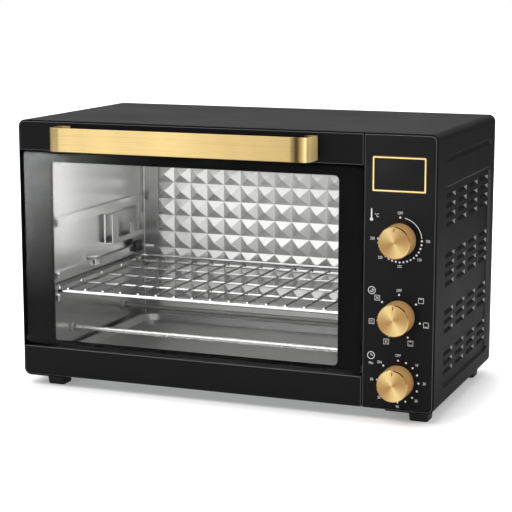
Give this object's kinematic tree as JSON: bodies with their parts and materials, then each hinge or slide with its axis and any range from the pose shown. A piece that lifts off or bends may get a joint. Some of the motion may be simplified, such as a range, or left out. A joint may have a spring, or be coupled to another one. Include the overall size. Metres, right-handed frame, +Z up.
{
  "type": "electric oven",
  "caption": "Worktop electric oven: boxy louvred cabinet, drop-down glass door with strap handle, wire rack, crumb tray, turning dials and a small display.",
  "frame": {"origin": "centre of the box around the whole oven, at the underside of the feet", "axes": "+X to the right as seen from the front, -Y out of the door, +Z up"},
  "size_m": [0.55, 0.329, 0.346],
  "materials": {
    "cabinet_paint": "satin black powder coat",
    "zinc_sheet": "zinc-plated",
    "screw_steel": "nickel-plated",
    "foot_rubber": "matte",
    "gland_plastic": "matte",
    "black_moulding": "fine black brushed",
    "fascia": "fine black brushed",
    "gold": "brushed gold",
    "knob_gold": "spun gold",
    "display_pane": "gloss black",
    "board": "circuit board",
    "door_glass": "clear with a black printed border",
    "door_sheet": "black",
    "shaft_steel": "turned",
    "control_body": "matte",
    "timer_steel": "zinc-plated",
    "cavity_steel": "polished aluminised steel",
    "embossed_steel": "bright embossed",
    "heater_tube": "dull sheath",
    "heater_bush": "ceramic",
    "bracket_steel": "bright",
    "rack_chrome": "bright plated",
    "tray_steel": "aluminised"
  },
  "bodies": {
    "cabinet": {"wrapper": "cabinet_paint", "back_cover": "cabinet_paint", "base_pan": "zinc_sheet", "front_frame": "zinc_sheet", "left_hinge_ear": "zinc_sheet", "right_hinge_ear": "zinc_sheet", "case_screws": "screw_steel", "left_front_foot": "foot_rubber", "left_back_foot": "foot_rubber", "right_front_foot": "foot_rubber", "right_back_foot": "foot_rubber", "cord_gland": "gland_plastic", "lower_strip": "black_moulding", "control_panel": "fascia", "display_bezel": "gold", "display_window": "display_pane", "display_board": "board", "thermostat": "control_body", "selector_switch": "control_body", "spit_motor": "control_body", "timer": "timer_steel", "timer_bell": "timer_steel", "left_liner": "cavity_steel", "right_liner": "cavity_steel", "top_liner": "cavity_steel", "floor_liner": "cavity_steel", "back_liner": "embossed_steel", "lower_heater_front": "heater_tube", "lower_heater_back": "heater_tube", "upper_heater_front": "heater_tube", "upper_heater_back": "heater_tube", "lower_heater_front_left_bush": "heater_bush", "lower_heater_front_right_bush": "heater_bush", "lower_heater_back_left_bush": "heater_bush", "lower_heater_back_right_bush": "heater_bush", "upper_heater_front_left_bush": "heater_bush", "upper_heater_front_right_bush": "heater_bush", "upper_heater_back_left_bush": "heater_bush", "upper_heater_back_right_bush": "heater_bush", "spit_bracket": "bracket_steel", "rack_stop": "bracket_steel", "sensor_clip": "bracket_steel", "sensor_bulb": "bracket_steel"},
    "door": {"door_top_trim": "black_moulding", "door_glass": "door_glass", "door_frame": "door_sheet", "door_handle": "gold", "handle_screws": "screw_steel", "left_hinge_pin": "screw_steel", "right_hinge_pin": "screw_steel"},
    "rack": {"wire_rack": "rack_chrome"},
    "tray": {"crumb_tray": "tray_steel"},
    "spit_drive": {"spit_coupling": "shaft_steel"},
    "temperature_dial": {"temperature_knob": "knob_gold", "temperature_shaft": "shaft_steel"},
    "function_dial": {"function_knob": "knob_gold", "function_shaft": "shaft_steel"},
    "timer_dial": {"timer_knob": "knob_gold", "timer_shaft": "shaft_steel"}
  },
  "joints": [
    {"name": "door_hinge", "type": "hinge", "parent": "cabinet", "child": "door", "pos_m": [0, -0.1253, 0.0612], "axis": [1, 0, 0], "range_deg": [0, 90]},
    {"name": "rack_slide", "type": "slide", "parent": "cabinet", "child": "rack", "axis": [0, 1, 0], "range_m": [-0.01, 0.0035]},
    {"name": "tray_slide", "type": "slide", "parent": "cabinet", "child": "tray", "axis": [0, 1, 0], "range_m": [-0.004, 0.0015]},
    {"name": "spit_drive_spin", "type": "hinge", "parent": "cabinet", "child": "spit_drive", "pos_m": [0, 0.064, 0.174], "axis": [1, 0, 0], "continuous": true},
    {"name": "temperature_turn", "type": "hinge", "parent": "cabinet", "child": "temperature_dial", "pos_m": [0.2308, -0.1335, 0.2213], "axis": [0, 1, 0], "range_deg": [0, 270]},
    {"name": "function_turn", "type": "hinge", "parent": "cabinet", "child": "function_dial", "pos_m": [0.2308, -0.1335, 0.12912], "axis": [0, 1, 0], "range_deg": [0, 308.6]},
    {"name": "timer_turn", "type": "hinge", "parent": "cabinet", "child": "timer_dial", "pos_m": [0.2308, -0.1335, 0.0506], "axis": [0, 1, 0], "range_deg": [-45, 270]}
  ]
}
